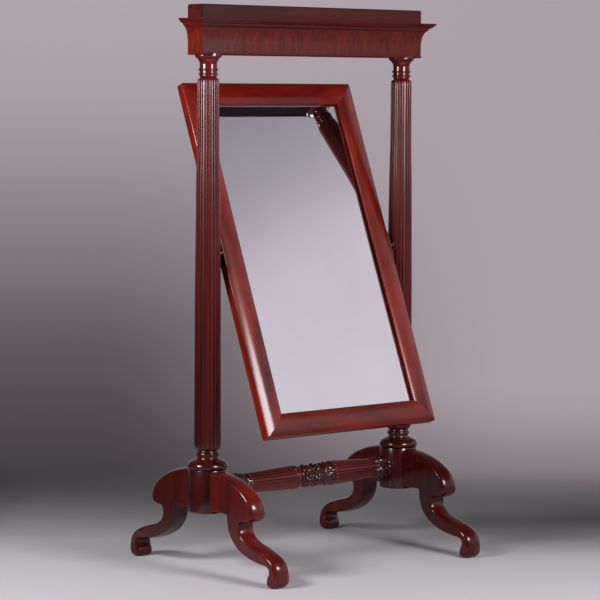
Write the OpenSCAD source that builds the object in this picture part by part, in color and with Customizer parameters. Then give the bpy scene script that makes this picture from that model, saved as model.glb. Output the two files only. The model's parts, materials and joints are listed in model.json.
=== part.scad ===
// Cheval floor mirror: a framed glass that swings between two reeded posts,
// under a moulded cornice, on a turned stretcher and four scroll legs.
// Origin on the floor, midway between the posts. X is the length, Y goes to the back, Z is up.

/* [Stand] */
// Height of the stand from floor to top
stand_h = 1850; // [1820:10:1900]
// Distance between the axes of the two posts
post_span = 844.4; // [843:0.1:860]
// Height of the stretcher's axis
stretcher_z = 275; // [272:1:278]
// How far the carved middle of the stretcher sits right of centre
group_shift = 22; // [-30:1:30]

/* [Posts] */
// Radius of the shaft just under the capital
shaft_r_top = 35.5; // [33:0.5:37]
// Radius of the shaft just above the base
shaft_r_low = 44.3; // [42:0.1:45]
// Number of reeds around each shaft
reeds = 18; // [14:1:20]
// Radius of the round block under each post
drum_r = 63; // [62:0.5:65]

/* [Legs] */
// Thickness of each scroll leg
leg_w = 64; // [56:1:68]
// Radius of the dowels that hold the legs
dowel_r = 6; // [5:0.5:7]

/* [Cornice] */
// Length of the frieze and of the top board
frieze_len = 949.6; // [945:0.1:965]
// Depth of the frieze and of the top board
frieze_dep = 81.2; // [80:0.1:90]
// How far the cornice moulding stands out
cornice_out = 38.5; // [34:0.5:42]

/* [Mirror] */
// Lean of the mirror at rest, top towards the back
lean = 21.9; // [0:0.1:30]
// Height of the pivots above the floor
pivot_z = 1044.6; // [1040:0.1:1048]
// Width of the mirror frame
frame_w = 737; // [730:0.5:738]
// Width of the face of each rail and stile
face_w = 77; // [70:1:80]
// Thickness of the frame
frame_t = 37.4; // [36:0.1:40]
// Thickness of the glass
glass_t = 5; // [4:0.5:6]

/* [Hidden] */
$fn = 64;
e = 0.01;
px = post_span / 2;
zf = stand_h - 163;          // underside of the frieze
zb = stand_h - 45;           // top of the frieze, under the top board
zr = 339;                    // top of the drums
zd = 198;                    // underside of the drums
z_up = 592.7;                // frame above the pivots
z_dn = 634.1;                // frame below the pivots
fx = frame_w / 2;
ft = frame_t / 2;
sight_y = -3.2;              // front of the glass, in the frame's own depth
pin_r = 6;
bush_in = px - 44;           // inner face of the brass bush
veneer = 2;
tenon_r = 20;

C_WOOD = [0.42, 0.10, 0.06];
C_DARK = [0.30, 0.07, 0.05];
C_CORE = [0.70, 0.52, 0.34];
C_BRASS = [0.72, 0.56, 0.28];

// ---- helpers ----

// points of a cubic curve from p to q, p left out
function curve(p, a, b, q, n = 10) = [for (i = [1 : n]) let (t = i / n, s = 1 - t)
  s * s * s * p + 3 * s * s * t * a + 3 * s * t * t * b + t * t * t * q];

// a half-round swelling of a turned profile from height z1 to z0, standing out by b from radius r
function bulge(r, z1, z0, b, n = 8) = [for (i = [0 : n]) let (t = 180 * i / n)
  [r + b * sin(t), (z1 + z0) / 2 + (z1 - z0) / 2 * cos(t)]];

// a box from corner p to corner q
module box(p, q) { translate(p) cube(q - p); }

// a cylinder along X from x0 to x1
module xcyl(x0, x1, r, z = 0) { translate([x0, 0, z]) rotate([0, 90, 0]) cylinder(h = x1 - x0, r = r); }

// pointed grooves around a turned piece, from (r0, z0) up to (r1, z1)
module grooves(n, r0, z0, r1, z1, rad) {
  len = norm([r1 - r0, z1 - z0]);
  for (i = [0 : n - 1]) rotate([0, 0, (i + 0.5) * 360 / n]) translate([r0, 0, z0])
    rotate([0, atan2(r1 - r0, z1 - z0), 0]) rotate_extrude($fn = 24)
      polygon([[0, -2 * rad], [rad, 0], [rad, len], [0, len + 2 * rad]]);
}

// ---- cornice and frieze ----

hl = frieze_len / 2;
hd = frieze_dep / 2;

module top_board() color(C_WOOD) intersection() {
  box([-hl, -hd, zb], [hl, hd, stand_h]);
  // eased upper edges
  translate([0, 0, zb - 1]) rotate([90, 0, 0]) linear_extrude(frieze_dep + 2, center = true)
    polygon([[-hl, 0], [hl, 0], [hl, 43], [hl - 3, 46], [-hl + 3, 46], [-hl, 43]]);
  translate([0, 0, zb - 1]) rotate([90, 0, 90]) linear_extrude(frieze_len + 2, center = true)
    polygon([[-hd, 0], [hd, 0], [hd, 43], [hd - 3, 46], [-hd + 3, 46], [-hd, 43]]);
}

module frieze_core() color(C_CORE) difference() {
  box([-hl + veneer, -hd + veneer, zf], [hl - veneer, hd - veneer, zb]);
  for (s = [-1, 1]) translate([s * px, 0, zf - 1]) cylinder(h = 56, r = 14);
}

module frieze_front() color(C_WOOD) box([-hl, -hd, zf + 8], [hl, -hd + veneer, zb - 70]);
module frieze_back() color(C_WOOD) box([-hl + veneer, hd - veneer, zf], [hl - veneer, hd, zb]);
module frieze_end(s) color(C_WOOD) translate([s * (hl - veneer / 2), 0, 0])
  box([-veneer / 2, -hd + veneer, zf + 8], [veneer / 2, hd, zb - 70]);

// half-round cock bead along the lower edge, profile out from the core
bead_pts = concat([[0, 0], [0, 8], [-veneer, 8]],
  [for (a = [0 : 15 : 180]) [-veneer - 1.5 * sin(a), 4 + 4 * cos(a)]]);

// cornice moulding, profile out from the core: lip, sloping underside, step and cavetto
mould_pts = concat(
  [[0, 0], [-veneer - cornice_out, 0], [-veneer - cornice_out, -2.5]],
  curve([-veneer - cornice_out, -2.5], [2 - veneer - cornice_out, -7], [-veneer - 29.5, -13],
    [-veneer - 23, -17], 8),
  [[-veneer - 19.5, -17.5], [-veneer - 19.5, -22.5], [-veneer - 17.5, -23]],
  curve([-veneer - 17.5, -23], [-veneer - 9, -31], [-veneer - 2.5, -42], [-veneer - 1, -70], 10),
  [[0, -70]]);

// a moulding run round the front (side 0), the left end (-1) or the right end (1), mitred
module run(pts, z, out, side) {
  fyy = hd - veneer;
  fxx = hl - veneer;
  m = fxx + out;
  n = fyy + out;
  intersection() {
    if (side == 0) translate([-m, -fyy, z]) rotate([90, 0, 90]) linear_extrude(2 * m) polygon(pts);
    else scale([-side, 1, 1]) translate([-fxx, hd, z]) rotate([90, 0, 0])
      linear_extrude(hd + n) polygon(pts);
    translate([0, 0, z - 80]) linear_extrude(100)
      if (side == 0) polygon([[-fxx, -fyy], [fxx, -fyy], [m + 5, -n - 5], [-m - 5, -n - 5]]);
      else polygon([[side * fxx, -fyy], [side * (m + 5), -n - 5], [side * (m + 5), hd], [side * fxx, hd]]);
  }
}

module bead_front() color(C_DARK) run(bead_pts, zf, 3.5, 0);
module bead_end(s) color(C_DARK) run(bead_pts, zf, 3.5, s);
module cornice_front() color(C_WOOD) run(mould_pts, zb, veneer + cornice_out, 0);
module cornice_end(s) color(C_WOOD) run(mould_pts, zb, veneer + cornice_out, s);

// ---- posts ----

// turned outline of a post from the top tenon down to the bottom tenon
post_pts = concat(
  [[0, zf + 50], [14, zf + 50], [14, zf], [44, zf], [44, zf - 4]],
  curve([44, zf - 4], [42, zf - 10], [34, zf - 11], [32, zf - 17], 6),
  [[28.6, zf - 21], [28.4, zf - 43]],
  bulge(28.4, zf - 43, zf - 51, 4),
  [[28.4, zf - 53], [28.4, zf - 58]],
  bulge(28.4, zf - 58, zf - 65, 4),
  [[28.8, zf - 67]],
  curve([28.8, zf - 67], [29.5, zf - 72], [35, zf - 74], [shaft_r_top, zf - 84], 6),
  [[shaft_r_low, 433]],
  curve([shaft_r_low, 433], [shaft_r_low, 412], [41, 403], [34.2, 396.5], 6),
  bulge(34.2, 394, 383, 4),
  [[33.5, 380], [33.5, 377], [36, 374], [tenon_r, 374], [tenon_r, zr - 58], [0, zr - 58]]);

module post(s) color(C_WOOD) difference() {
  translate([s * px, 0, 0]) difference() {
    rotate_extrude() polygon(post_pts);
    grooves(reeds, shaft_r_low + 0.8, 424, shaft_r_top + 0.8, zf - 92, 3);
  }
  // seat and bore for the pivot bush
  scale([s, 1, 1]) {
    xcyl(px - 70, bush_in + 5, 13, pivot_z);
    xcyl(bush_in, bush_in + 38, 10, pivot_z);
  }
}

// turned collar between post and drum
ring_pts = concat([[tenon_r, zr], [57, zr], [60, zr + 1.5]],
  curve([60, zr + 1.5], [69, 344], [68, 356], [57, 364.5], 10),
  curve([57, 364.5], [50, 369.5], [42, 370], [38.5, 373.8], 5),
  [[36, 374], [tenon_r, 374]]);

module base_ring(s) color(C_WOOD) translate([s * px, 0, 0]) rotate_extrude() polygon(ring_pts);

module drum(s) color(C_WOOD) translate([s * px, 0, 0]) difference() {
  rotate_extrude() polygon([[0, zd], [drum_r - 3, zd], [drum_r, zd + 3], [drum_r, zr], [0, zr]]);
  translate([0, 0, zr - 60]) cylinder(h = 70, r = tenon_r);
  scale([-s, 1, 1]) xcyl(drum_r - 30, drum_r + 9, 16, stretcher_z);
  for (k = [-1, 1], z = [240, 305]) translate([0, 0, z]) rotate([-90 * k, 0, 0])
    translate([0, 0, drum_r - 26]) cylinder(h = 40, r = dowel_r);
}

// ---- legs ----

// side view of a leg: distance out from the post's axis, height
leg_pts = concat([[30, 337], [50, 337]],
  curve([50, 337], [130, 338], [264, 300], [268, 220], 14),
  curve([268, 220], [268, 196], [240, 186], [214, 190], 8),
  curve([214, 190], [203, 190], [202, 182], [204, 172], 5),
  curve([204, 172], [210, 134], [262, 128], [300, 117], 10),
  curve([300, 117], [350, 104], [390, 85], [390, 40], 12),
  curve([390, 40], [390, 14], [382, 0], [366, 0], 6),
  [[350, 0]],
  curve([350, 0], [340, 2], [334, 22], [345, 36], 6),
  curve([345, 36], [354, 46], [360, 64], [324, 66], 6),
  curve([324, 66], [240, 72], [135, 102], [139, 206], 12),
  [[30, 206]]);

// side: -1 left or 1 right; way: -1 front or 1 rear
module leg(side, way) color(C_WOOD) translate([side * px, 0, 0]) difference() {
  scale([1, way, 1]) translate([-leg_w / 2, 0, 0]) rotate([90, 0, 90]) linear_extrude(leg_w)
    polygon(leg_pts);
  translate([0, 0, 150]) cylinder(h = 250, r = drum_r);
  for (z = [240, 305]) translate([0, 0, z]) rotate([-90 * way, 0, 0]) cylinder(h = drum_r + 41, r = dowel_r);
}

module leg_dowels() color(C_CORE) for (s = [-1, 1], k = [-1, 1], z = [240, 305])
  translate([s * px, 0, z]) rotate([-90 * k, 0, 0]) translate([0, 0, drum_r - 25])
    cylinder(h = 64, r = dowel_r);

// ---- stretcher ----

sx = px - drum_r;             // where the stretcher meets the drums
gs = group_shift;
// turned outline: radius, place along the length from left to right
stretch_pts = concat(
  [[0, -sx - 28], [16, -sx - 28], [16, -sx], [30, -sx], [35, -sx + 6]],
  curve([35, -sx + 6], [41, -sx + 30], [41, -sx + 62], [33, -sx + 88], 8),
  [[30.5, -sx + 92], [32.5, -sx + 97]],
  curve([32.5, -sx + 97], [36, gs - 200], [40, gs - 140], [41.5, gs - 80], 6),
  curve([41.5, gs - 80], [41.5, gs - 71], [38, gs - 65], [33, gs - 64], 4), [[31, gs - 62]],
  curve([31, gs - 62], [36.5, gs - 61], [36.5, gs - 52], [31.5, gs - 50], 5),
  curve([31.5, gs - 50], [43, gs - 47], [43, gs - 13], [31.5, gs - 10], 8),
  curve([31.5, gs - 10], [43.5, gs - 7], [43.5, gs + 25], [32, gs + 28], 8),
  curve([32, gs + 28], [39, gs + 31], [42.5, gs + 44], [41.5, gs + 76], 6),
  [[40, gs + 78], [41.5, gs + 80], [41.5, gs + 84]],
  curve([41.5, gs + 84], [40, gs + 140], [36, gs + 200], [33, sx - 75], 6),
  [[30.5, sx - 70], [33, sx - 66]],
  curve([33, sx - 66], [40, sx - 50], [41, sx - 24], [35, sx - 6], 8),
  [[30, sx], [16, sx], [16, sx + 28], [0, sx + 28]]);

module stretcher() color(C_WOOD) translate([0, 0, stretcher_z]) rotate([0, 90, 0]) difference() {
  rotate_extrude() polygon(stretch_pts);
  grooves(18, 33.6, -sx + 108, 42, gs - 90, 2.2);
  grooves(18, 42, gs + 92, 34.2, sx - 84, 2.2);
}

// ---- pivots ----

module pivot_bush(s) color(C_BRASS) translate([0, 0, pivot_z]) scale([s, 1, 1]) difference() {
  union() {
    xcyl(bush_in, bush_in + 5, 13);
    xcyl(bush_in + 4, bush_in + 38, 10);
  }
  xcyl(bush_in - 1, bush_in + 35, pin_r + 0.05);
}

module pivot_pin(s) color(C_BRASS) tilt() scale([s, 1, 1]) {
  xcyl(fx - 40, bush_in + 33, pin_r);
  xcyl(fx, bush_in - 0.5, 9);
}

plate_w = 26;
plate_h = 90;
plate_t = 3;
module pivot_plate(s) color(C_BRASS) tilt() scale([s, 1, 1]) difference() {
  box([fx - plate_t, -plate_w / 2, -plate_h / 2], [fx, plate_w / 2, plate_h / 2]);
  xcyl(fx - plate_t - 1, fx + 1, pin_r);
  for (z = [-34, -18, 18, 34]) screw_at(z);
}

// countersunk screw in the outer side of a stile
module screw_at(z) translate([0, 0, z]) {
  xcyl(fx - 22, fx - 2, 2);
  translate([fx - 2.2, 0, 0]) rotate([0, 90, 0]) cylinder(h = 2.2, r1 = 2, r2 = 4);
}

module plate_screws() color(C_BRASS) tilt() for (s = [-1, 1], z = [-34, -18, 18, 34])
  scale([s, 1, 1]) screw_at(z);

// ---- mirror frame ----

// the mirror's own upright frame, leaned back about the pivots
module tilt() { translate([0, 0, pivot_z]) rotate([-lean, 0, 0]) children(); }

rebate = 7;
board_in = 15;
board_t = 8;
// section of the frame: distance in from the outer edge, depth from front to back
function cushion(w) = w < 46 ? 9 * pow((46 - w) / 46, 2.2) : 5 * pow((w - 46) / (face_w - 46), 2);
section = concat(
  [for (i = [0 : 14]) let (w = i == 0 ? 0 : 1 + (face_w - 2) * (i - 1) / 13)
    [w, -ft + cushion(w) + (i == 0 ? 1.5 : 0)]],
  [[face_w, -ft + 6.2], [face_w, sight_y], [face_w - rebate, sight_y],
   [face_w - rebate, ft - board_t], [face_w - board_in, ft - board_t], [face_w - board_in, ft], [0, ft]]);

module rail_bar(k) {  // k = -1 bottom, 1 top
  zo = k < 0 ? z_dn : z_up;
  intersection() {
    scale([1, 1, -k]) translate([-fx, 0, -zo]) rotate([90, 0, 90]) linear_extrude(frame_w)
      polygon([for (p = section) [p[1], p[0]]]);
    rotate([90, 0, 0]) linear_extrude(100, center = true)
      polygon([[-fx, k * zo], [fx, k * zo], [0, k * (zo - fx)]]);
  }
}

module stile_bar(s) {
  intersection() {
    scale([-s, 1, 1]) translate([-fx, 0, -z_dn]) linear_extrude(z_up + z_dn) polygon(section);
    rotate([90, 0, 0]) linear_extrude(100, center = true)
      polygon([[s * fx, -z_dn], [s * fx, z_up], [0, z_up - fx], [0, -z_dn + fx]]);
  }
}

// loose tongues across the mitres
module keys() for (s = [-1, 1], k = [-1, 1]) scale([s, 1, k])
  translate([fx, 3, k < 0 ? z_dn : z_up]) rotate([0, 45, 0])
    translate([-15, -2, -70]) cube([30, 4, 50]);

module mirror_rail(k) color(C_WOOD) tilt() difference() {
  rail_bar(k);
  keys();
  screws();
}

module mirror_stile(s) color(C_WOOD) tilt() difference() {
  stile_bar(s);
  keys();
  screws();
  scale([s, 1, 1]) {
    box([fx - plate_t, -plate_w / 2, -plate_h / 2], [fx + 1, plate_w / 2, plate_h / 2]);
    xcyl(fx - 40, fx + 1, pin_r);
    for (z = [-34, -18, 18, 34]) screw_at(z);
  }
}

module mitre_keys() color(C_CORE) tilt() keys();

gx = fx - face_w + rebate - 0.5;      // half width of the glass
g_lo = -z_dn + face_w - rebate + 0.5;
g_hi = z_up - face_w + rebate - 0.5;

// flat mirror plate, lying in the rebate
module glass() color([0.8, 0.85, 0.87, 0.4]) tilt()
  box([-gx, sight_y, g_lo], [gx, sight_y + glass_t, g_hi]);

module silvering() color([0.75, 0.76, 0.78]) tilt()
  box([-gx + 0.5, sight_y + glass_t, g_lo + 0.5], [gx - 0.5, sight_y + glass_t + 0.4, g_hi - 0.5]);

// small blocks glued in the rebate behind the glass
module glass_blocks() color(C_CORE) tilt() {
  y0 = sight_y + glass_t + 0.4;
  y1 = ft - board_t;
  for (s = [-1, 1], i = [0 : 3])
    translate([s * (fx - face_w + rebate - 3), 0, b_lo + 60 + (i + 0.5) * (b_hi - b_lo - 120) / 4])
      box([-3, y0, -18], [3, y1, 18]);
  for (k = [g_lo + 2.5, g_hi - 2.5], i = [-1 : 1]) translate([i * 190, 0, k])
    box([-18, y0, -3], [18, y1, 3]);
}

bx = fx - face_w + board_in - 0.5;
b_lo = -z_dn + face_w - board_in + 0.5;
b_hi = z_up - face_w + board_in - 0.5;

// screws through the back boards into the frame
module screws() {
  y = ft;
  for (s = [-1, 1], i = [0 : 4]) back_screw(s * (bx - 6.5), b_lo + 60 + i * (b_hi - b_lo - 120) / 4);
  for (z = [b_lo + 6.5, b_hi - 6.5], s = [-1, 1]) back_screw(s * 140, z);
}
module back_screw(x, z) translate([x, ft, z]) rotate([90, 0, 0]) {
  cylinder(h = 1.8, r1 = 3.4, r2 = 1.6, $fn = 24);
  cylinder(h = 18, r = 1.6, $fn = 24);
}

module backboard(s) color(C_CORE) tilt() difference() {
  scale([s, 1, 1]) box([0, ft - board_t, b_lo], [bx, ft, b_hi]);
  screws();
}

module back_screws() color(C_BRASS) tilt() screws();

// ---- pieces ----

top_board();
frieze_core();
frieze_front();
frieze_back();
frieze_end(-1);  // frieze_end_left
frieze_end(1);  // frieze_end_right
bead_front();
bead_end(-1);  // bead_left
bead_end(1);  // bead_right
cornice_front();
cornice_end(-1);  // cornice_left
cornice_end(1);  // cornice_right
post(-1);  // post_left
post(1);  // post_right
base_ring(-1);  // base_ring_left
base_ring(1);  // base_ring_right
drum(-1);  // drum_left
drum(1);  // drum_right
leg(-1, -1);  // leg_front_left
leg(1, -1);  // leg_front_right
leg(-1, 1);  // leg_rear_left
leg(1, 1);  // leg_rear_right
leg_dowels();
stretcher();
pivot_bush(-1);  // pivot_bush_left
pivot_bush(1);  // pivot_bush_right
mirror_rail(1);  // rail_top
mirror_rail(-1);  // rail_bottom
mirror_stile(-1);  // stile_left
mirror_stile(1);  // stile_right
mitre_keys();
glass();
silvering();
glass_blocks();
backboard(-1);  // backboard_left
backboard(1);  // backboard_right
back_screws();
pivot_plate(-1);  // pivot_plate_left
pivot_plate(1);  // pivot_plate_right
plate_screws();
pivot_pin(-1);  // pivot_pin_left
pivot_pin(1);  // pivot_pin_right
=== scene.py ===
import json
import math

import bmesh
import bpy
import numpy as np
from mathutils import Matrix, Vector


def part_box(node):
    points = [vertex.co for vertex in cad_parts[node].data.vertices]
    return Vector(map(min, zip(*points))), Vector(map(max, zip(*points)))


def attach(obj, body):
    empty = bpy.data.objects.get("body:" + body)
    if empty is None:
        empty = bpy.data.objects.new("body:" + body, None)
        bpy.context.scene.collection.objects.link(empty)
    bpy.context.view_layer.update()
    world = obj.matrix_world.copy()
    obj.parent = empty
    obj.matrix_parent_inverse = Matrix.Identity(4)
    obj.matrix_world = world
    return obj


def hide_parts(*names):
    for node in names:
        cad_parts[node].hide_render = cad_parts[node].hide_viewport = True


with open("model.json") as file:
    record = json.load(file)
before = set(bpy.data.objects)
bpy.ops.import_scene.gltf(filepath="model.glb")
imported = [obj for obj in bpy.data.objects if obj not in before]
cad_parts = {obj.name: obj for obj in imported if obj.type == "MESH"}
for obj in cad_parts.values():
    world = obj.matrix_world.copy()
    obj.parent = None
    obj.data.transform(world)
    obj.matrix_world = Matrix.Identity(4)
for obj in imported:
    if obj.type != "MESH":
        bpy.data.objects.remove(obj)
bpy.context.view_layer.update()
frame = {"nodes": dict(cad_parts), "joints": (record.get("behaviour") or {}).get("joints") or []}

MM = 0.001
NODES = frame["nodes"]
STAND, MIRROR = "stand", "mirror"
PIVOT = Vector(frame["joints"][0]["pos_m"])
LEAN = math.radians(21.9)  # how far the mirror leans back at rest
SIDES = {"left": -1, "right": 1}


# ---------------------------------------------------------------- curves


def curve(p, a, b, q, n=16):
    """Points of a cubic curve from p to q, without p."""
    t = np.linspace(0, 1, n + 1)[1:, None]
    p, a, b, q = (np.array(v, float) for v in (p, a, b, q))
    return (1 - t) ** 3 * p + 3 * (1 - t) ** 2 * t * a + 3 * (1 - t) * t**2 * b + t**3 * q


def outline(first, *parts):
    """One line of 2-D points from a start and parts.

    A part is a point (2 numbers) or a curve (6 numbers, or 7 with its count of points)."""
    pts = [np.array([first], float)]
    for p in parts:
        last = pts[-1][-1]
        if len(p) == 2:
            pts.append(np.array([p], float))
        else:
            pts.append(curve(last, p[0:2], p[2:4], p[4:6], *p[6:]))
    return np.concatenate(pts)


def bulge(r, z1, z0, b, n=12):
    """Half-round swelling of a turned outline from z1 down to z0, standing b out from r."""
    t = np.linspace(0, math.pi, n + 1)
    return np.stack([r + b * np.sin(t), (z1 + z0) / 2 + (z1 - z0) / 2 * np.cos(t)], 1)


def resample(pts, step):
    """The same line with no gap longer than step."""
    out = [pts[0]]
    for a, b in zip(pts[:-1], pts[1:]):
        n = max(1, math.ceil(np.linalg.norm(b - a) / step))
        out += [a + (b - a) * k / n for k in range(1, n + 1)]
    return np.array(out)


# ---------------------------------------------------------------- meshes


def piece(name, verts, faces, mat, body, replaces=(), sharp=35, matrix=None):
    """A mesh piece that rides on a CAD body and stands for some CAD nodes."""
    mesh = bpy.data.meshes.new(name)
    mesh.from_pydata([tuple(v) for v in verts], [], faces)
    bm = bmesh.new()
    bm.from_mesh(mesh)
    bmesh.ops.remove_doubles(bm, verts=bm.verts, dist=1e-7)
    bmesh.ops.recalc_face_normals(bm, faces=bm.faces)
    bm.to_mesh(mesh)
    bm.free()
    for p in mesh.polygons:
        p.use_smooth = True
    mesh.set_sharp_from_angle(angle=math.radians(sharp))
    mesh.materials.append(mat)
    obj = bpy.data.objects.new(name, mesh)
    bpy.context.scene.collection.objects.link(obj)
    if matrix is not None:
        obj.matrix_world = matrix
    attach(obj, body)
    if replaces:
        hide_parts(*replaces)
    return obj


def skin(rings):
    """Vertices and faces of a skin over rings of points, each closed on itself, with both ends capped."""
    n = len(rings[0])
    verts = np.concatenate(rings)
    faces = []
    for i in range(len(rings) - 1):
        for j in range(n):
            k = (j + 1) % n
            faces.append((i * n + j, i * n + k, (i + 1) * n + k, (i + 1) * n + j))
    faces.append(tuple(range(n))[::-1])
    faces.append(tuple((len(rings) - 1) * n + j for j in range(n)))
    return verts, faces


def turned(profile, angles, relief=None):
    """Rings of a turned piece along Z. relief(r, z, angles) gives the radius at each angle."""
    rings = []
    for r, z in profile:
        rr = np.full(len(angles), r) if relief is None else relief(r, z, angles)
        rings.append(np.stack([rr * np.cos(angles), rr * np.sin(angles), np.full(len(angles), z)], 1) * MM)
    return rings


def reed_angles(count, per):
    """Angles around a reeded piece, closer together beside the grooves."""
    s = np.sin(np.linspace(-math.pi / 2, math.pi / 2, per + 1)[:-1])
    return np.concatenate([(i + 0.5 + s / 2) * 2 * math.pi / count for i in range(count)])


def reed(angles, count, run, length, half, depth):
    """Depth below the crown of rounded reeds with round ends, at run millimetres along them."""
    phase = np.abs(((angles * count / (2 * math.pi)) % 1) * 2 - 1)
    end = max(0.0, 1 - min(run, length - run) / half)
    if not 0 < run < length:
        return np.full(len(angles), depth)
    return depth * (1 - np.clip(1 - phase**4 - end**2, 0, 1) ** 0.5)


# ---------------------------------------------------------------- materials


def nodes_of(name):
    mat = bpy.data.materials.new(name)
    mat.use_nodes = True
    tree = mat.node_tree
    return mat, tree, tree.nodes["Principled BSDF"]


def add(tree, kind, **values):
    node = tree.nodes.new(kind)
    for key, value in values.items():
        if key in node.inputs:
            node.inputs[key].default_value = value
        else:
            setattr(node, key, value)
    return node


def ramp(tree, stops):
    node = tree.nodes.new("ShaderNodeValToRGB")
    elements = node.color_ramp.elements
    while len(elements) < len(stops):
        elements.new(0.5)
    for element, (position, colour) in zip(elements, stops):
        element.position = position
        element.color = (*colour, 1)
    return node


MIX_FACTOR, MIX_A, MIX_B, MIX_RESULT = 0, 6, 7, 2  # sockets of a Mix node that mixes colours


def mix(tree, kind, factor, a, b):
    node = tree.nodes.new("ShaderNodeMix")
    node.data_type = "RGBA"
    node.blend_type = kind
    for socket, value in ((MIX_FACTOR, factor), (MIX_A, a), (MIX_B, b)):
        if isinstance(value, bpy.types.NodeSocket):
            tree.links.new(value, node.inputs[socket])
        elif isinstance(value, tuple):
            node.inputs[socket].default_value = (*value, 1)
        else:
            node.inputs[socket].default_value = value
    return node.outputs[MIX_RESULT]


def smooth_step(tree, value, lo, hi, at_lo=0.0, at_hi=1.0):
    node = add(tree, "ShaderNodeMapRange", interpolation_type="SMOOTHSTEP")
    for key, number in zip(("From Min", "From Max", "To Min", "To Max"), (lo, hi, at_lo, at_hi)):
        node.inputs[key].default_value = number
    tree.links.new(value, node.inputs["Value"])
    return node.outputs[0]


def product(tree, a, b):
    node = add(tree, "ShaderNodeMath", operation="MULTIPLY")
    tree.links.new(a, node.inputs[0])
    tree.links.new(b, node.inputs[1])
    return node.outputs[0]


def mottled(tree, stops, **noise_values):
    """A noise over the piece's own coordinates, and the colours it is turned into."""
    coords = add(tree, "ShaderNodeTexCoord")
    noise = add(tree, "ShaderNodeTexNoise", **noise_values)
    tree.links.new(coords.outputs["Object"], noise.inputs["Vector"])
    tone = ramp(tree, stops)
    tree.links.new(noise.outputs["Fac"], tone.inputs[0])
    return noise.outputs["Fac"], tone.outputs[0]


FALLOFF_FROM, FALLOFF_TO = 0.25, 1.6  # heights in metres between which a post's colour goes from painted shade low down to painted light high up
REAR_SHADE_FROM, REAR_SHADE_TO = 0.010, 0.034  # how far behind its axis a post turns to its painted rear shade
UPWARD = (0.75, 0.97)  # how nearly a face looks straight up, from polished to dull


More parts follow.
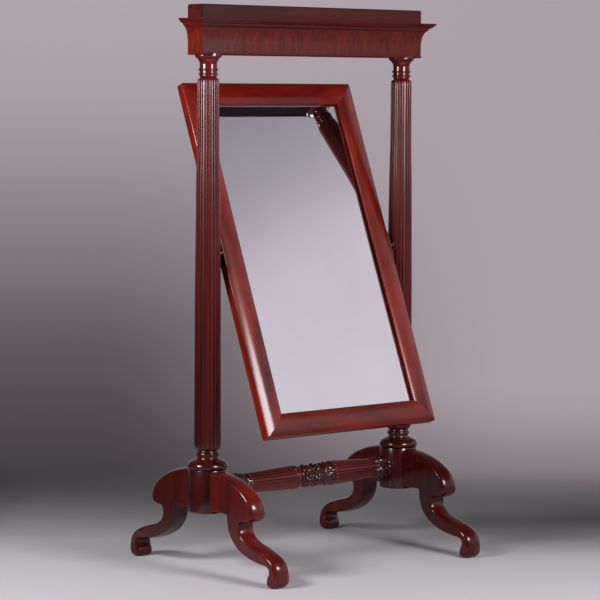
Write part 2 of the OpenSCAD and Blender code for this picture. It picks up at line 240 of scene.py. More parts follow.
def wood(name, dark, mid, light, along, streak=0.06, broad=26.0, spread=(0.30, 0.52, 0.76), lines=0.35,
         pores=0.5, rough=0.36, gloss=0.06, coat=1.0, coat_rough=0.1, coat_ior=1.5, bump=0.1, foot=None,
         rear=1.0, shift=0.0, lean=0.0, dull_top=False):
    """Timber, polished where it has a coat. along is the axis of the grain.

    streak is how much the figure is drawn out along the grain. foot paints light and shade down a post: it
    scales the colour low down and high up. rear paints shade on the side turned to the back. lean turns
    the grain with a board whose own axes stand upright. dull_top takes the polish off faces that look
    straight up, which would otherwise mirror the lights."""
    mat, tree, bsdf = nodes_of(name)
    link = tree.links.new
    coords = add(tree, "ShaderNodeTexCoord")
    place = add(tree, "ShaderNodeMapping")
    place.inputs["Location"].default_value = (shift, shift * 0.7, shift * 1.3)
    place.inputs["Rotation"].default_value = (lean, 0, 0)
    link(coords.outputs["Object"], place.inputs["Vector"])

    def drawn_out(amount):
        node = add(tree, "ShaderNodeMapping")
        node.inputs["Scale"].default_value = [amount if axis == along else 1 for axis in "xyz"]
        link(place.outputs[0], node.inputs["Vector"])
        return node.outputs[0]

    # the broad figure, the fine lines of the grain and the open pores
    figure = add(tree, "ShaderNodeTexNoise", Scale=broad, Detail=5.0, Roughness=0.58, Distortion=0.7)
    link(drawn_out(streak), figure.inputs["Vector"])
    fine = add(tree, "ShaderNodeTexNoise", Scale=210.0, Detail=4.0, Roughness=0.6, Distortion=0.3)
    link(drawn_out(0.05), fine.inputs["Vector"])
    pore = add(tree, "ShaderNodeTexNoise", Scale=700.0, Detail=2.0, Roughness=0.6)
    link(drawn_out(0.035), pore.inputs["Vector"])
    tone = ramp(tree, list(zip(spread, (dark, mid, light))))
    link(figure.outputs["Fac"], tone.inputs[0])
    grain = ramp(tree, [(0.36, (0.50, 0.46, 0.46)), (0.62, (1.0, 1.0, 1.0))])
    link(fine.outputs["Fac"], grain.inputs[0])
    pits = ramp(tree, [(0.32, (0.42, 0.38, 0.40)), (0.43, (1.0, 1.0, 1.0))])
    link(pore.outputs["Fac"], pits.inputs[0])
    colour = mix(tree, "MULTIPLY", lines, tone.outputs[0], grain.outputs[0])
    colour = mix(tree, "MULTIPLY", pores, colour, pits.outputs[0])
    if foot or rear < 1:
        where = add(tree, "ShaderNodeSeparateXYZ")
        link(coords.outputs["Object"], where.inputs[0])
    # painted light and shade: darker low down, brighter high up
    if foot:
        height = add(tree, "ShaderNodeMapRange")
        for key, value in zip(("From Min", "From Max", "To Min", "To Max"), (FALLOFF_FROM, FALLOFF_TO, *foot)):
            height.inputs[key].default_value = value
        link(where.outputs["Z"], height.inputs["Value"])
        painted_falloff_tone = add(tree, "ShaderNodeCombineColor")
        for channel in painted_falloff_tone.inputs:
            link(height.outputs[0], channel)
        colour = mix(tree, "MULTIPLY", 1.0, colour, painted_falloff_tone.outputs[0])
    # painted shade on the side turned to the back
    if rear < 1:
        rear_shade_mask = smooth_step(tree, where.outputs["Y"], REAR_SHADE_FROM, REAR_SHADE_TO)
        colour = mix(tree, "MULTIPLY", rear_shade_mask, colour, (rear, rear, rear))
    link(colour, bsdf.inputs["Base Color"])
    shine = add(tree, "ShaderNodeMapRange")
    shine.inputs["To Min"].default_value = rough - 0.05
    shine.inputs["To Max"].default_value = rough + 0.08
    link(fine.outputs["Fac"], shine.inputs["Value"])
    roughness = shine.outputs[0]
    bsdf.inputs["Specular IOR Level"].default_value = gloss
    bsdf.inputs["Coat Weight"].default_value = coat
    if dull_top:
        faces_up = add(tree, "ShaderNodeSeparateXYZ")
        link(coords.outputs["Normal"], faces_up.inputs[0])
        link(smooth_step(tree, faces_up.outputs["Z"], *UPWARD, coat, 0.0), bsdf.inputs["Coat Weight"])
        unpolished = add(tree, "ShaderNodeMath", operation="MAXIMUM")
        link(roughness, unpolished.inputs[0])
        link(smooth_step(tree, faces_up.outputs["Z"], *UPWARD), unpolished.inputs[1])
        roughness = unpolished.outputs[0]
    link(roughness, bsdf.inputs["Roughness"])
    bsdf.inputs["Coat Roughness"].default_value = coat_rough
    bsdf.inputs["Coat IOR"].default_value = coat_ior
    relief = add(tree, "ShaderNodeBump", Strength=bump, Distance=0.0004)
    link(pore.outputs["Fac"], relief.inputs["Height"])
    link(relief.outputs[0], bsdf.inputs["Normal"])
    return mat


def metal(name, base, tarnish, rough):
    """Old brass, dull where it is tarnished."""
    mat, tree, bsdf = nodes_of(name)
    noise, tone = mottled(tree, [(0.35, tarnish), (0.62, base)], Scale=240.0, Detail=5.0, Roughness=0.6)
    tree.links.new(tone, bsdf.inputs["Base Color"])
    shine = add(tree, "ShaderNodeMapRange")
    shine.inputs["To Min"].default_value = rough + 0.15
    shine.inputs["To Max"].default_value = rough
    tree.links.new(noise, shine.inputs["Value"])
    tree.links.new(shine.outputs[0], bsdf.inputs["Roughness"])
    bsdf.inputs["Metallic"].default_value = 1.0
    return mat


def toned(tones, by):
    return [tuple(c * by for c in tone) for tone in tones]


# tones are the dark, middle and light of the figure
RED, WARM = (0.092, 0.0058, 0.0034), (0.160, 0.0120, 0.0055)
END_TONES = ((0.030, 0.0024, 0.0022), RED, WARM)
POST_TONES = ((0.030, 0.0024, 0.0022), (0.080, 0.0055, 0.0038), (0.125, 0.0095, 0.0055))
# the carving is given darker tones that paint its shade
CARVED_SHADE_TONES = ((0.014, 0.0018, 0.0016), (0.034, 0.0032, 0.0026), (0.060, 0.0060, 0.0042))
TOP_TONES = ((0.032, 0.004, 0.0045), (0.062, 0.0065, 0.0060), (0.100, 0.0095, 0.0065))
LEG_TONES = ((0.050, 0.0035, 0.0025), RED, WARM)
STILE_TONES = ((0.045, 0.0030, 0.0019), (0.152, 0.0085, 0.0030), (0.255, 0.0175, 0.0050))
TOP_RAIL_TONES = ((0.080, 0.0038, 0.0018), (0.158, 0.0068, 0.0022), (0.235, 0.0115, 0.0034))
LOW_RAIL_TONES = ((0.056, 0.0060, 0.0036), (0.122, 0.0092, 0.0042), (0.190, 0.0155, 0.0060))
VENEER_TONES = ((0.062, 0.0110, 0.0085), (0.086, 0.0125, 0.0100), (0.128, 0.0150, 0.0100))
VENEER_END_TONES = ((0.072, 0.0080, 0.0050), (0.108, 0.0088, 0.0050), (0.160, 0.0125, 0.0060))
STAINED_TONES = ((0.024, 0.014, 0.016), (0.046, 0.029, 0.033), (0.070, 0.045, 0.050))
PINE_TONES = ((0.16, 0.075, 0.030), (0.30, 0.165, 0.075), (0.42, 0.26, 0.13))
BOARD_TONES = ((0.15, 0.070, 0.030), (0.27, 0.140, 0.064), (0.36, 0.20, 0.10))

# foot paints the posts darker low down and brighter high up, and rear paints shade on their back side
mahogany_post = wood("mahogany_post", *POST_TONES, "z", coat_rough=0.13, coat_ior=1.46, foot=(0.5, 1.2),
                     rear=0.3)
mahogany_reeds = wood("mahogany_reeds", *POST_TONES, "z", coat_rough=0.24, coat_ior=1.40,
                      foot=(0.48, 1.24), rear=0.3)
mahogany_x = wood("mahogany_along_x", *POST_TONES, "x", coat_rough=0.12, coat_ior=1.42, shift=3.1)
mahogany_carved_shaded = wood("mahogany_carved_shaded", *CARVED_SHADE_TONES, "x", coat_rough=0.09, shift=3.1)
mahogany_y = wood("mahogany_along_y", *END_TONES, "y", coat_ior=1.4, shift=9.0, dull_top=True)
mahogany_top = wood("mahogany_top", *TOP_TONES, "x", streak=0.05, coat_rough=0.12, coat_ior=1.40,
                    shift=1.7, dull_top=True)
# each leg's tone and place in the grain; the lower tones of the rear-left, front-right and rear-right legs
# are painted shade
LEGS = {"front_left": (0.98, 5.3), "rear_left": (0.50, 11.2), "front_right": (0.50, 14.7),
        "rear_right": (0.68, 17.9)}
mahogany_legs = {
    where: wood(f"mahogany_leg_{where}", *toned(LEG_TONES, by), "z", streak=0.12, broad=18.0,
                coat_rough=0.13, coat_ior=1.37, shift=shift)
    for where, (by, shift) in LEGS.items()}
mahogany_frame_z = wood("mahogany_frame_upright", *STILE_TONES, "z", streak=0.3, broad=14.0, lines=0.25,
                        coat_rough=0.17, coat_ior=1.39, shift=8.2, dull_top=True)
mahogany_frame_x = wood("mahogany_frame_top", *TOP_RAIL_TONES, "x", streak=0.25, broad=14.0, lines=0.25,
                        coat_rough=0.17, coat_ior=1.32, shift=2.6, dull_top=True)
mahogany_frame_low = wood("mahogany_frame_bottom", *LOW_RAIL_TONES, "x", streak=0.3, broad=16.0, lines=0.2,
                          coat_rough=0.18, coat_ior=1.42, shift=21.4)
FLAME = dict(streak=0.16, broad=85.0, spread=(0.36, 0.5, 0.66), lines=0.3)
flame_veneer = wood("flame_veneer", *VENEER_TONES, "z", **FLAME, coat=0.5, coat_rough=0.28, coat_ior=1.36,
                    shift=4.4)
veneer_ends = wood("flame_veneer_ends", *VENEER_END_TONES, "z", **FLAME, coat=0.4, coat_rough=0.25,
                   coat_ior=1.34, shift=31.0)
stained = wood("stained_carcass", *STAINED_TONES, "x", rough=0.55, coat=0.25, coat_rough=0.35, shift=6.0)
PLAIN = dict(streak=0.04, rough=0.62, coat=0.0, bump=0.3, shift=7.5)
pine = wood("old_pine", *PINE_TONES, "z", **PLAIN)
pine_boards = wood("old_pine_boards", *BOARD_TONES, "z", **PLAIN, lean=LEAN)
brass = metal("aged_brass", (0.30, 0.19, 0.075), (0.085, 0.050, 0.024), 0.30)


def clear_glass():
    mat, tree, bsdf = nodes_of("mirror_glass")
    stops = [(0.3, (0.975, 0.962, 0.982)), (0.7, (0.985, 0.972, 0.990))]
    tree.links.new(mottled(tree, stops, Scale=3.0, Detail=1.0)[1], bsdf.inputs["Base Color"])
    bsdf.inputs["Transmission Weight"].default_value = 1.0
    bsdf.inputs["Roughness"].default_value = 0.0
    bsdf.inputs["IOR"].default_value = 1.5
    return mat


def silver_coat():
    mat, tree, bsdf = nodes_of("silver_coat")
    stops = [(0.3, (0.86, 0.85, 0.87)), (0.7, (0.90, 0.89, 0.91))]
    tree.links.new(mottled(tree, stops, Scale=5.0, Detail=2.0)[1], bsdf.inputs["Base Color"])
    bsdf.inputs["Metallic"].default_value = 1.0
    bsdf.inputs["Roughness"].default_value = 0.015
    return mat


# ---------------------------------------------------------------- posts

DRUM_LO, DRUM_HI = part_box("drum_right")
POST_X = (DRUM_LO.x + DRUM_HI.x) / 2 / MM
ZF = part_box("bead_front")[0].z / MM  # underside of the frieze
ZR = DRUM_HI.z / MM  # top of the drums
SHAFT_TOP, SHAFT_LOW = 35.7, 44.3
REEDS, REED_DEPTH = 18, 3.2
REED_STEPS = 14  # points round each reed
REED_TOP, REED_LOW = ZF - 76, 404.0
REED_END = 9.0  # length of a reed's round end
REED_MARGIN = 6  # how far the shaft stays cut to full depth past the reeds


def post_profile():
    head = outline((14, ZF + 6), (43, ZF + 6), (44, ZF - 0.5), (44, ZF - 4),
                   (42, ZF - 9, 34.5, ZF - 10, 32.5, ZF - 16, 12), (30.5, ZF - 19), (28.8, ZF - 22),
                   (28.4, ZF - 30), (28.4, ZF - 42))
    rings = np.concatenate([bulge(28.4, ZF - 43, ZF - 50.5, 4.2), bulge(28.2, ZF - 58, ZF - 65, 4.2),
                            [[28.6, ZF - 68]]])
    # the crown line of the reeds, with its round shoulders; the reeds cut in from it
    shaft = outline((29.4, ZF - 71), (31, ZF - 74.5, SHAFT_TOP, ZF - 75.5, SHAFT_TOP, ZF - 80, 14),
                    (SHAFT_TOP + 0.2, ZF - 95), (36.3, ZF - 282), (39.2, 1265), (42.8, 892),
                    (SHAFT_LOW, 433),
                    (SHAFT_LOW, 420, 43, 405, 36.5, 399, 14), (34.2, 397))
    foot = np.concatenate([bulge(34.4, 394, 383.5, 4.2), [[33.8, 380], [33.5, 377], [36, 373.5], [30, 370]]])
    return np.concatenate([head, rings, resample(shaft, 24), foot])


def post_relief(r, z, angles):
    if REED_LOW - REED_MARGIN < z < REED_TOP + REED_MARGIN:
        return r - reed(angles, REEDS, REED_TOP - z, REED_TOP - REED_LOW, REED_END, REED_DEPTH)
    return np.full(len(angles), r)


POST_ANGLES = reed_angles(REEDS, REED_STEPS)
for side, s in SIDES.items():
    verts, faces = skin(turned(post_profile(), POST_ANGLES, post_relief))
    post = piece(f"reeded_post_{side}", verts + np.array([s * POST_X * MM, 0, 0]), faces, mahogany_post,
                 STAND, [f"post_{side}"], sharp=50)
    post.data.materials.append(mahogany_reeds)
    for face in post.data.polygons:
        if REED_LOW < face.center.z / MM < REED_TOP:
            face.material_index = 1

# ---------------------------------------------------------------- collars and drums

ROUND = np.linspace(0, 2 * math.pi, 97)[:-1]
DRUM_R = (DRUM_HI.x - DRUM_LO.x) / 2 / MM
DRUM_Z = DRUM_LO.z / MM


def collar_profile():
    """One fat cushion on the drum, running up into the foot of the post."""
    return outline((20, ZR + 0.3), (57, ZR + 0.3), (60, ZR + 1.5), (69, 344, 68, 356, 57, 364.5, 26),
                   (50, 369.5, 42, 370, 38.5, 373.6, 12), (36, 373.9), (20, 373.9))


def drum_profile():
    return outline((1, DRUM_Z), (DRUM_R - 4, DRUM_Z),
                   (DRUM_R - 1, DRUM_Z, DRUM_R, DRUM_Z + 1.5, DRUM_R, DRUM_Z + 4, 6),
                   (DRUM_R, ZR - 0.6), (DRUM_R - 0.4, ZR), (1, ZR))


for side, s in SIDES.items():
    at = np.array([s * POST_X * MM, 0, 0])
    for name, profile in (("base_ring", collar_profile()), ("drum", drum_profile())):
        verts, faces = skin(turned(profile, ROUND))
        piece(f"turned_{name}_{side}", verts + at, faces, mahogany_post, STAND,
              [f"{name}_{side}"])

# ---------------------------------------------------------------- legs

LEG_LO, LEG_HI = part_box("leg_rear_right")
LEG_HALF = (LEG_HI.x - LEG_LO.x) / 2 / MM
ROUNDING = 2.15  # power of the curve over a leg's edge: 2 is an ellipse, more is squarer
SIDE_RIM = 0.4  # width of the strip that keeps a leg's flat side flat up to its edge
SMOOTHINGS = 10  # rounds of averaging, so that the rounding changes gently along the leg
# side view of a leg as (way out, height), then how far the edge is rounded over along each stretch
LEG_PARTS = [
    ((130, 338, 264, 300, 268, 220, 44), 14),
    ((268, 196, 240, 186, 214, 190, 22), 11),
    ((203, 190, 202, 182, 204, 172, 12), 5),
    ((210, 134, 262, 128, 300, 117, 30), 10),
    ((350, 104, 390, 85, 390, 40, 36), 15),
    ((390, 14, 382, 0, 366, 0, 18), 9),
    ((350, 0), 4),
    ((340, 2, 334, 22, 345, 36, 18), 9),
    ((354, 46, 360, 64, 324, 66, 18), 6),
    ((240, 72, 135, 102, 139, 206, 44), 6),
]


def leg_outline():
    pts, over = [np.array([[40, 337], [50, 337]], float)], [12, 12]
    for part, width in LEG_PARTS:
        new = outline(pts[-1][-1], part)[1:]
        pts.append(new)
        over += [width] * len(new)
    pts.append(np.array([[90, 206.4], [40, 206.4]], float))
    over += [4, 4]
    over = np.array(over, float)
    for _ in range(SMOOTHINGS):
        over[1:-1] = (over[:-2] + over[1:-1] + over[2:]) / 3
    return np.concatenate(pts), over


def leg_rings():
    pts, over = leg_outline()
    along = np.roll(pts, -1, 0) - np.roll(pts, 1, 0)
    along[0], along[-1] = pts[1] - pts[0], pts[-1] - pts[-2]
    along /= np.linalg.norm(along, axis=1)[:, None]
    inward = np.stack([along[:, 1], -along[:, 0]], 1)
    rings = []
    for t in np.linspace(-math.pi / 2, math.pi / 2, 25):
        across = math.copysign(abs(math.sin(t)) ** (2 / ROUNDING), t)
        drop = 1 - abs(math.cos(t)) ** (2 / ROUNDING)
        q = pts + inward * (over * drop)[:, None]
        rings.append(np.stack([np.full(len(q), across * LEG_HALF), q[:, 0], q[:, 1]], 1) * MM)
    rim = np.column_stack([np.zeros(len(pts)), inward * SIDE_RIM * MM])
    return [rings[0] + rim, *rings, rings[-1] + rim]


for way_name, way in (("front", -1), ("rear", 1)):
    for side, s in SIDES.items():
        verts, faces = skin(leg_rings())
        verts = verts * np.array([1, way, 1]) + np.array([s * POST_X * MM, 0, 0])
        where = f"{way_name}_{side}"
        piece(f"scroll_leg_{where}", verts, faces, mahogany_legs[where], STAND,
              [f"leg_{where}"], sharp=60)

# ---------------------------------------------------------------- stretcher

STR_LO, STR_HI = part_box("stretcher")
STR_Z = (STR_LO.z + STR_HI.z) / 2 / MM
SX = POST_X - DRUM_R  # where the stretcher meets a drum
GROUP = 22.0  # the carved group's place along X
REEDED = [(-SX + 98, GROUP - 88), (GROUP + 84, SX - 74)]
FLUTES, FLUTE_END, FLUTE_DEPTH = 18, 7.0, 2.6  # reeds of the stretcher, their round ends and their depth
# carved stretches: from, to, rows of lozenges, how many round, depth
CARVED = [(-SX + 4, -SX + 88, 4, 18, 2.4), (GROUP - 48, GROUP - 12, 1, 11, 5.0),
          (GROUP - 8, GROUP + 26, 1, 11, 5.0), (GROUP + 30, GROUP + 75, 2, 11, 3.6),
          (SX - 66, SX - 4, 3, 18, 3.2)]
CARVED_FADE = 3  # length over which the carving dies out at each end


def stretcher_profile():
    return outline((16, -SX - 10), (34, -SX - 10), (35, -SX + 4),
                   (41, -SX + 30, 41, -SX + 62, 33, -SX + 88, 20),
                   (30.5, -SX + 91), (31.5, -SX + 94), (33, -SX + 98),
                   (36, GROUP - 200, 40, GROUP - 140, 41.5, GROUP - 80, 30),
                   (41.5, GROUP - 71, 38, GROUP - 65, 31, GROUP - 64, 10), (28, GROUP - 62),
                   (36.5, GROUP - 61, 36.5, GROUP - 52, 28, GROUP - 50, 12),
                   (45, GROUP - 48, 45, GROUP - 12, 28, GROUP - 10, 26),
                   (45.5, GROUP - 8, 45.5, GROUP + 26, 28.5, GROUP + 28, 26),
                   (39, GROUP + 31, 42.5, GROUP + 44, 41.5, GROUP + 76, 18), (40.2, GROUP + 78),
                   (41.8, GROUP + 80), (41.5, GROUP + 84),
                   (40, GROUP + 140, 36, GROUP + 200, 33, SX - 74, 30), (31.5, SX - 71),
                   (30.5, SX - 68), (33, SX - 66), (40, SX - 50, 41, SX - 24, 35, SX - 4, 20), (34, SX + 10),
                   (16, SX + 10))


def zigzag(q):
    """Rises from 0 to 1 and falls back to 0 once in each whole step of q."""
    return 1 - np.abs(2 * (q % 1) - 1)


def stretcher_relief(r, x, angles):
    for a, b in REEDED:
        if a < x < b:
            return r - reed(angles, FLUTES, x - a, b - a, FLUTE_END, FLUTE_DEPTH)
    for a, b, rows, count, deep in CARVED:
        if a < x < b:
            u = (x - a) / (b - a) * rows
            v = angles * count / (2 * math.pi)
            fade = min(1.0, (x - a) / CARVED_FADE, (b - x) / CARVED_FADE)
            return r - deep * fade * (1 - np.minimum(zigzag(u + v), zigzag(u - v)) ** 0.7)
    return np.full(len(angles), r)


STRETCHER_ANGLES = reed_angles(FLUTES, REED_STEPS)
verts, faces = skin(turned(resample(stretcher_profile(), 2.0), STRETCHER_ANGLES, stretcher_relief))
verts = verts[:, [2, 1, 0]] * np.array([1, 1, -1]) + np.array([0, 0, STR_Z * MM])
stretcher = piece("carved_stretcher", verts, faces, mahogany_x, STAND, ["stretcher"], sharp=40)
# the carved faces take the darker wood, which paints the shade in the carving
stretcher.data.materials.append(mahogany_carved_shaded)
for face in stretcher.data.polygons:
    if any(a < face.center.x / MM < b for a, b, *_ in CARVED):
        face.material_index = 1

# ---------------------------------------------------------------- cornice

TOP_LO, TOP_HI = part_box("top_board")
HL, HD = TOP_HI.x / MM, TOP_HI.y / MM  # half the length and depth of the top board and the frieze
ZB = TOP_LO.z / MM  # underside of the top board
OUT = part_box("cornice_front")[1].x / MM - HL  # how far the moulding stands out


def run_round(section, z, name, end_mat, front_mat, node):
    """A mitred moulding on the front and both ends. section is (out from the frieze, up) and closed."""
    section = np.array(section, float)
    for part in ("front", "left", "right"):
        ends = []
        for e in (0, 1):
            ring = []
            for o, up in section:
                if part == "front":
                    p = ((-1 if e == 0 else 1) * (HL + o), -(HD + o), z + up)
                else:
                    s = SIDES[part]
                    p = (s * (HL + o), -(HD + o) if e == 0 else HD, z + up)
                ring.append(p)
            ends.append(np.array(ring) * MM)
        verts, faces = skin(ends)
        piece(f"{name}_{part}", verts, faces, front_mat if part == "front" else end_mat, STAND,
              [f"{node}_{part}"], sharp=30)


crown_lip = outline((-2, 0), (OUT - 0.5, 0), (OUT, -0.5), (OUT, -2.2),
                    (OUT - 2, -7, 29.5, -13, 23, -17, 14), (22.6, -17.4), (19.8, -17.5), (19.5, -17.9),
                    (19.5, -22.2), (19.2, -22.6), (17.5, -23), (12, -29), (-2, -29))
crown_cove = outline((-2, -24), (16.3, -24), (9, -31, 2.5, -42, 0.6, -70, 26), (-2, -70))
bead_arc = [(1.4 * math.sin(a), 4.1 - 3.9 * math.cos(a)) for a in np.linspace(0.2, math.pi - 0.2, 12)]
bead = [(-2, 0.2), (0.2, 0.2), *bead_arc, (0.2, 8), (-2, 8)]
run_round(crown_lip, ZB, "crown_lip", mahogany_y, mahogany_top, "cornice")
run_round(crown_cove, ZB, "crown_cove", veneer_ends, flame_veneer, "cornice")
run_round(bead, ZF, "cock_bead", mahogany_y, mahogany_top, "bead")

# ---------------------------------------------------------------- mirror frame

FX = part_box("stile_right")[1].x / MM
FT = 18.7  # half the frame's thickness
FACE = 77.0  # width of the frame's face
REBATE = 7.0  # how far the face laps over the glass
BOARD_IN, BOARD_T = 15.0, 8.0  # width and depth of the step for the back boards
SIGHT = -3.2  # front of the glass, from the middle of the frame
CREST, OUTER_DROP, INNER_DROP = 46, 9, 5  # where the cushion is highest, and its fall to each edge
CORNER = 7.0  # radius of the frame's outer corners
FAN = 6  # how far in from that radius the section still turns with it
GAP = 0.08  # hairline at each mitre
Z_UP, Z_DN = 592.7, 634.1  # from the pivots to the frame's top and bottom
TILT = Matrix.Translation(PIVOT) @ Matrix.Rotation(-LEAN, 4, "X")


def cushion(w):
    """How far the face has fallen back from its crest, at w in from the outer edge."""
    if w < CREST:
        return OUTER_DROP * ((CREST - w) / CREST) ** 2.2
    return INNER_DROP * ((w - CREST) / (FACE - CREST)) ** 2


def frame_section():
    """Closed section of the frame as (in from the outer edge, back from the middle)."""
    front = [(w, -FT + cushion(w)) for w in np.linspace(1.2, FACE - 1.0, 40)]
    return [(0, -FT + 11.5), (0.3, -FT + 10.0)] + front + [
        (FACE - 0.3, -FT + 5.4), (FACE, -FT + 6.3), (FACE, SIGHT), (FACE - REBATE, SIGHT),
        (FACE - REBATE, FT - BOARD_T), (FACE - BOARD_IN, FT - BOARD_T), (FACE - BOARD_IN, FT - 0.6),
        (FACE - BOARD_IN - 0.6, FT), (0.8, FT), (0, FT - 0.8)]


def frame_piece(name, node, mat, flip, lo, hi, edge, upright):
    """One mitred length of the frame: the section runs from lo to hi and sits in from edge.

    The outer corners are rounded by CORNER, so near each mitre the outer part of the section follows
    an arc."""
    section = frame_section()
    turns = np.linspace(math.pi / 4, 0, 7)
    rings = []
    for place, way, order in ((lo, 1, turns), (hi, -1, turns[::-1])):
        for t in order:
            ring = []
            for w, d in section:
                if w < CORNER:
                    along, inner = CORNER - (CORNER - w) * math.sin(t), CORNER - (CORNER - w) * math.cos(t)
                else:
                    along, inner = w + min(w - CORNER, FAN) * (1 - 4 * t / math.pi), w
                p = place + way * along
                q = edge + flip * inner
                ring.append((q, d, p) if upright else (p, d, q))
            rings.append(np.array(ring) * MM)
    verts, faces = skin(rings)
    piece(name, verts, faces, mat, MIRROR, [node], sharp=28, matrix=TILT)


frame_piece("frame_bottom", "rail_bottom", mahogany_frame_low, 1, -FX + GAP, FX - GAP, -Z_DN, False)
frame_piece("frame_top", "rail_top", mahogany_frame_x, -1, -FX + GAP, FX - GAP, Z_UP, False)
frame_piece("frame_left", "stile_left", mahogany_frame_z, 1, -Z_DN + GAP, Z_UP - GAP, -FX, True)
frame_piece("frame_right", "stile_right", mahogany_frame_z, -1, -Z_DN + GAP, Z_UP - GAP, FX, True)

# ---------------------------------------------------------------- glass

GLASS_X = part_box("glass")[1].x / MM
GLASS_IN = FACE - REBATE + 0.5  # from the outer edge of the frame in to the edge of the glass
GLASS_T = 5.0
AIR = 0.1  # between the glass and the silver sheet behind it


def plate(inset, depth):
    """Corners of a rectangle across the opening, inset from the glass's edge."""
    x, lo, hi = GLASS_X - inset, -Z_DN + GLASS_IN + inset, Z_UP - GLASS_IN - inset
    return np.array([(-x, depth, lo), (x, depth, lo), (x, depth, hi), (-x, depth, hi)]) * MM


verts, faces = skin([plate(0.3, SIGHT), plate(0, SIGHT + 0.3), plate(0, SIGHT + GLASS_T - AIR)])
piece("mirror_plate", verts, faces, clear_glass(), MIRROR, ["glass"], sharp=2, matrix=TILT)

# ---------------------------------------------------------------- pivots

BUSH_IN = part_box("pivot_bush_right")[0].x / MM
for side, s in SIDES.items():
    pin = outline((5.9, FX - 6), (8.2, FX - 6), (8.2, FX), (9, FX + 0.8), (9, BUSH_IN - 1.8),
                  (8.2, BUSH_IN - 0.6), (6, BUSH_IN - 0.6), (6, BUSH_IN + 30), (5.2, BUSH_IN + 31))
    bush = outline((6.3, BUSH_IN + 4), (6.3, BUSH_IN + 0.4), (6.8, BUSH_IN), (11.6, BUSH_IN),
                   (13, BUSH_IN + 1.2), (13, BUSH_IN + 5), (10, BUSH_IN + 5), (10, BUSH_IN + 37),
                   (6.3, BUSH_IN + 37))
    for name, profile, body, node in (("swivel_pin", pin, MIRROR, "pivot_pin"),
                                      ("swivel_bush", bush, STAND, "pivot_bush")):
        verts, faces = skin(turned(profile, ROUND[::2]))
        verts = verts[:, [2, 1, 0]] * np.array([s, 1, -1]) + np.array([0, 0, PIVOT.z])
        piece(f"{name}_{side}", verts, faces, brass, body, [f"{node}_{side}"], sharp=30)

# ---------------------------------------------------------------- screws with slotted heads

HEAD_SIDES = 20
HEAD_R, SHANK_R, SHANK = 3.4, 1.6, 16  # radius of head and shank, and the screw's length
HEAD_LIFT, SLOT = 0.25, 0.7  # how far the head stands proud, and the depth of its slot


def slotted_screw(bm, place, turn, axes):
    """A countersunk screw at place, with its slot at an angle of turn. axes turns +Z to the way it faces."""
    half = HEAD_SIDES // 2
    rings = []
    for r, h in ((SHANK_R, -SHANK), (SHANK_R, -HEAD_R + SHANK_R), (HEAD_R, -0.3), (HEAD_R - 0.2, HEAD_LIFT)):
        ring = []
        for t in np.linspace(0, 2 * math.pi, HEAD_SIDES, endpoint=False) + turn:
            point = Vector((place[0] + r * math.cos(t), place[1] + r * math.sin(t), place[2] + h))
            ring.append(bm.verts.new(axes @ point * MM))
        rings.append(ring)
    for lower, upper in zip(rings[:-1], rings[1:]):
        for j in range(HEAD_SIDES):
            k = (j + 1) % HEAD_SIDES
            bm.faces.new((lower[j], lower[k], upper[k], upper[j]))
    bm.faces.new(rings[0][::-1])
    # the head's two halves, with the slot between them
    rim = rings[-1]
    for start in (0, half):
        bm.faces.new([rim[start + k] for k in range(1, half)])
    ends = [rim[k] for k in (1, 0, -1, half + 1, half, half - 1)]
    down = axes @ Vector((0, 0, -SLOT)) * MM
    deep = [bm.verts.new(ends[k].co + down) for k in (0, 2, 3, 5)]
    bm.faces.new((ends[0], deep[0], deep[3], ends[5]))
    bm.faces.new((ends[2], ends[3], deep[2], deep[1]))
    bm.faces.new(deep)
    bm.faces.new((ends[0], ends[1], ends[2], deep[1], deep[0]))
    bm.faces.new((ends[3], ends[4], ends[5], deep[3], deep[2]))


EDGE_IN = 6.5  # how far in from the edge of a back board its screws stand
SIDE_SCREWS, FROM_END = 5, 60  # screws along each side, and how far the outer ones are from its ends
END_SCREW_X = 140  # the screws at the top and bottom, out from the middle
BX = FX - FACE + BOARD_IN - 0.5  # from the middle of the mirror out to the edge of a back board
# lower and upper edge of the back boards, measured up from the pivots
B_LO, B_HI = -Z_DN + FACE - BOARD_IN + 0.5, Z_UP - FACE + BOARD_IN - 0.5
PITCH_Z = (B_HI - B_LO - 2 * FROM_END) / (SIDE_SCREWS - 1)
# each screw's place, and the angle its slot was left at
screws = [((s * (BX - EDGE_IN), -(B_LO + FROM_END + i * PITCH_Z), FT), 0.4 + i + s)
          for s in (-1, 1) for i in range(SIDE_SCREWS)]
screws += [((s * END_SCREW_X, -z, FT), 0.9 + s)
           for z in (B_LO + EDGE_IN, B_HI - EDGE_IN) for s in (-1, 1)]
FACING_BACK = Matrix(((1, 0, 0), (0, 0, 1), (0, -1, 0)))  # (x, y, z) becomes (x, z, -y)
bm = bmesh.new()
for place, turn in screws:
    slotted_screw(bm, place, turn, FACING_BACK)
bmesh.ops.recalc_face_normals(bm, faces=bm.faces)
heads = bpy.data.meshes.new("back_screw_heads")
bm.to_mesh(heads)
bm.free()
heads.materials.append(brass)
screw_heads = bpy.data.objects.new("back_screw_heads", heads)
bpy.context.scene.collection.objects.link(screw_heads)
screw_heads.matrix_world = TILT
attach(screw_heads, MIRROR)
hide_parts("back_screws")

# ---------------------------------------------------------------- materials of the CAD nodes that stay

LOOKS = {
    "top_board": mahogany_top, "frieze_core": stained, "frieze_front": flame_veneer,
    "frieze_back": stained, "frieze_end_left": veneer_ends, "frieze_end_right": veneer_ends,
    "leg_dowels": pine, "mitre_keys": pine, "glass_blocks": pine, "backboard_left": pine_boards,
    "backboard_right": pine_boards, "pivot_plate_left": brass, "pivot_plate_right": brass,
    "plate_screws": brass, "silvering": silver_coat(),
}
for name, mat in LOOKS.items():
    mesh = NODES[name].data
    mesh.materials.clear()
    mesh.materials.append(mat)
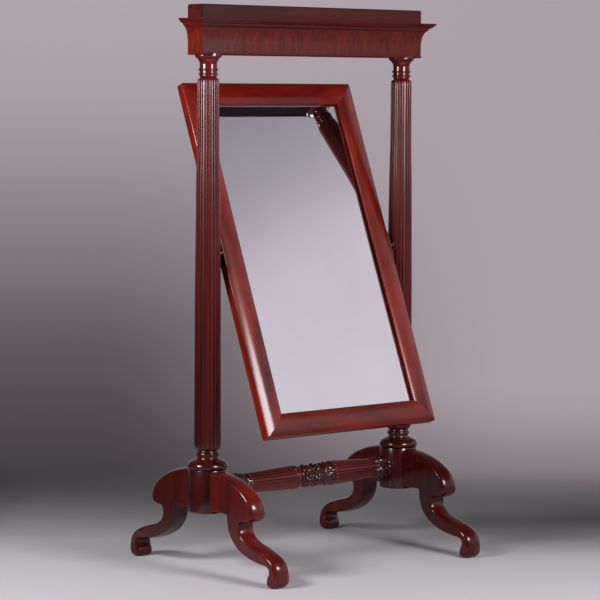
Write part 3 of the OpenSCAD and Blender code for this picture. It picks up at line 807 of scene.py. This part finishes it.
# how wide the edges of some of them are eased
EASED = {"top_board": 2.0, "frieze_front": 0.7, "backboard_left": 0.6, "backboard_right": 0.6}
for name, width in EASED.items():
    soften = NODES[name].modifiers.new("eased_edges", "BEVEL")
    soften.width = width * MM
    soften.segments = 4
    soften.limit_method = "ANGLE"

# ---------------------------------------------------------------- studio

# The studio is a pale floor with painted light and shade on it, that fades out round the object, in a room
# whose walls are only light.
# Nothing stands between the object and a camera on any side of it.
FLOOR_TINT, WALL_TINT, ROOM_TINT = (0.97, 0.92, 0.98), (1.16, 1.0, 1.10), (0.97, 0.92, 1.0)
TURN = math.radians(-40)  # the floor and the room are square to the photographer
AWAY = (-math.sin(TURN), math.cos(TURN), 0)  # from the photographer past the object
RIGHT = (math.cos(TURN), math.sin(TURN), 0)
FLOOR_HALF = 6  # half the floor's side in metres
FLOOR_FROM, FLOOR_TO = -0.5, 2.5  # the stretch of floor past the object whose tone is set
# painted light and shade on the floor: its reflectance by the way past the object in metres, at the left and
# at the right
FLOOR_LEFT = [(-0.5, 0.5), (0.3, 0.5), (0.75, 0.37), (1.1, 0.25), (1.4, 0.2), (2.1, 0.15)]
FLOOR_RIGHT = [(-0.5, 0.5), (0.0, 0.47), (0.35, 0.25), (0.75, 0.12), (1.1, 0.18), (1.4, 0.25), (2.1, 0.4)]
FLOOR_PAINTED_SHADE = (0.06, 0.055, 0.06)  # painted shade beyond the painted light at the left
corners = [(x * FLOOR_HALF, y * FLOOR_HALF, 0) for x, y in ((-1, -1), (1, -1), (1, 1), (-1, 1))]
floor = bpy.data.meshes.new("studio_floor")
floor.from_pydata(corners, [], [(0, 1, 2, 3)])
ground = bpy.data.objects.new("studio_floor", floor)
ground.rotation_euler = (0, 0, TURN)
bpy.context.scene.collection.objects.link(ground)
paper, tree, bsdf = nodes_of("pale_floor")
place = add(tree, "ShaderNodeTexCoord")
axes = add(tree, "ShaderNodeSeparateXYZ")
tree.links.new(place.outputs["Object"], axes.inputs[0])
span = add(tree, "ShaderNodeMapRange")
span.inputs["From Min"].default_value = FLOOR_FROM
span.inputs["From Max"].default_value = FLOOR_TO
tree.links.new(axes.outputs["Y"], span.inputs["Value"])
tones = []
for stops in (FLOOR_LEFT, FLOOR_RIGHT):
    tone = ramp(tree, [((at - FLOOR_FROM) / (FLOOR_TO - FLOOR_FROM), tuple(b * t for t in FLOOR_TINT))
                       for at, b in stops])
    tree.links.new(span.outputs[0], tone.inputs[0])
    tones.append(tone.outputs[0])
# the painted light on the floor, and painted shade beyond it at the left
painted_pool = mix(tree, "MIX", smooth_step(tree, axes.outputs["X"], -0.9, 1.1), *tones)
painted_shade_beside = smooth_step(tree, axes.outputs["X"], -1.0, -1.5, 0.0, 0.94)
tree.links.new(mix(tree, "MIX", painted_shade_beside, painted_pool, FLOOR_PAINTED_SHADE), bsdf.inputs["Base Color"])
radius = add(tree, "ShaderNodeVectorMath", operation="LENGTH")
tree.links.new(place.outputs["Object"], radius.inputs[0])
fade = product(tree, smooth_step(tree, axes.outputs["Y"], 1.2, 2.1, 1.0, 0.0),
               smooth_step(tree, radius.outputs["Value"], 3.4, 5.2, 1.0, 0.0))
tree.links.new(fade, bsdf.inputs["Alpha"])
bsdf.inputs["Roughness"].default_value = 0.9
bsdf.inputs["Specular IOR Level"].default_value = 0.2
floor.materials.append(paper)


def softbox(name, place, target, size, power):
    data = bpy.data.lights.new(name, "AREA")
    data.shape = "ELLIPSE"
    data.size, data.size_y = size
    data.energy = power
    lamp = bpy.data.objects.new(name, data)
    lamp.location = place
    lamp.rotation_euler = (Vector(target) - Vector(place)).to_track_quat("-Z", "Y").to_euler()
    bpy.context.scene.collection.objects.link(lamp)


softbox("left_box", (-2.4, 0.1, 1.8), (-0.2, 0, 1.1), (0.96, 0.74), 66)
softbox("front_box", (0.25, -2.7, 1.92), (0, 0, 0.9), (1.35, 1.0), 80)

world = bpy.data.worlds.new("studio_air")
bpy.context.scene.world = world
world.use_nodes = True
air = world.node_tree
sky = air.nodes["Background"]
coords = add(air, "ShaderNodeTexCoord")
split = add(air, "ShaderNodeSeparateXYZ")
air.links.new(coords.outputs["Generated"], split.inputs[0])


def height_ramp(stops, tint=ROOM_TINT):
    """Brightness of the room by the height of the direction, from straight down (-1) to straight up (1)."""
    spread = add(air, "ShaderNodeMapRange")
    spread.inputs["From Min"].default_value = -1
    air.links.new(split.outputs["Z"], spread.inputs["Value"])
    tones = ramp(air, [((z + 1) / 2, tuple(b * t for t in tint)) for z, b in stops])
    air.links.new(spread.outputs[0], tones.inputs[0])
    return tones.outputs[0]


def towards(axis):
    """How nearly a direction points along axis: 1 along it, 0 square to it."""
    node = add(air, "ShaderNodeVectorMath", operation="DOT_PRODUCT")
    node.inputs[1].default_value = axis
    air.links.new(coords.outputs["Generated"], node.inputs[0])
    return node.outputs["Value"]


room = height_ramp([(-0.3, 0.03), (-0.08, 0.04), (0.02, 0.06), (0.15, 0.06), (0.6, 0.04), (1.0, 0.03)])
# the pale wall in front of the glass, which ends in a soft edge towards the ceiling
wall = height_ramp([(-0.1, 0.1), (0.02, 0.28), (0.16, 0.73), (0.42, 0.75), (0.48, 0.65), (0.51, 0.4),
                    (0.56, 0.24), (0.65, 0.06), (1.0, 0.03)])
# the wall behind the object: at the left it darkens slowly downwards, at the right only near the floor
behind_left = height_ramp([(-0.15, 0.05), (-0.1, 0.1), (0.0, 0.35), (0.05, 0.4), (0.2, 0.25), (0.6, 0.1),
                           (1.0, 0.05)], WALL_TINT)
behind_right = height_ramp([(-0.17, 0.1), (-0.12, 0.35), (0.05, 0.35), (0.2, 0.2), (0.6, 0.1),
                            (1.0, 0.05)], WALL_TINT)
aside = towards(RIGHT)
behind = mix(air, "MIX", smooth_step(air, aside, -0.08, 0.1), behind_left, behind_right)
# how much of that wall is lit: all of it straight behind the object, and less to each side
lit = product(air, smooth_step(air, towards(AWAY), 0.15, 0.85),
              smooth_step(air, aside, -0.6, -0.38, 0.08, 1.0))
lit = product(air, lit, smooth_step(air, aside, 0.2, 0.6, 1.0, 0.35))
around = mix(air, "MIX", lit, room, behind)
BEFORE_GLASS = (0.73, -0.68, 0)  # the way to the wall that the glass shows
near = smooth_step(air, towards(BEFORE_GLASS), 0.5, 0.8)
air.links.new(mix(air, "MIX", near, around, wall), sky.inputs["Color"])
sky.inputs["Strength"].default_value = 1.0

# ---------------------------------------------------------------- camera

YAW, PITCH, ROLL = math.radians(40.18), math.radians(4.78), math.radians(0.30)
EYE = Vector((-5.4555, -6.4253, 1.5767))
view = Vector((math.sin(YAW) * math.cos(PITCH), math.cos(YAW) * math.cos(PITCH), -math.sin(PITCH)))
level = Vector((math.cos(YAW), -math.sin(YAW), 0))
up = level.cross(view)
across = level * math.cos(ROLL) + up * math.sin(ROLL)
upright = up * math.cos(ROLL) - level * math.sin(ROLL)
cam = bpy.data.objects.new("camera", bpy.data.cameras.new("camera"))
cam.data.sensor_width = 36
cam.data.lens = 150.84
cam.data.clip_end = 60
cam.matrix_world = Matrix.Translation(EYE) @ Matrix((across, upright, -view)).transposed().to_4x4()
bpy.context.scene.collection.objects.link(cam)
bpy.context.scene.camera = cam
bpy.context.scene.view_settings.view_transform = "Standard"
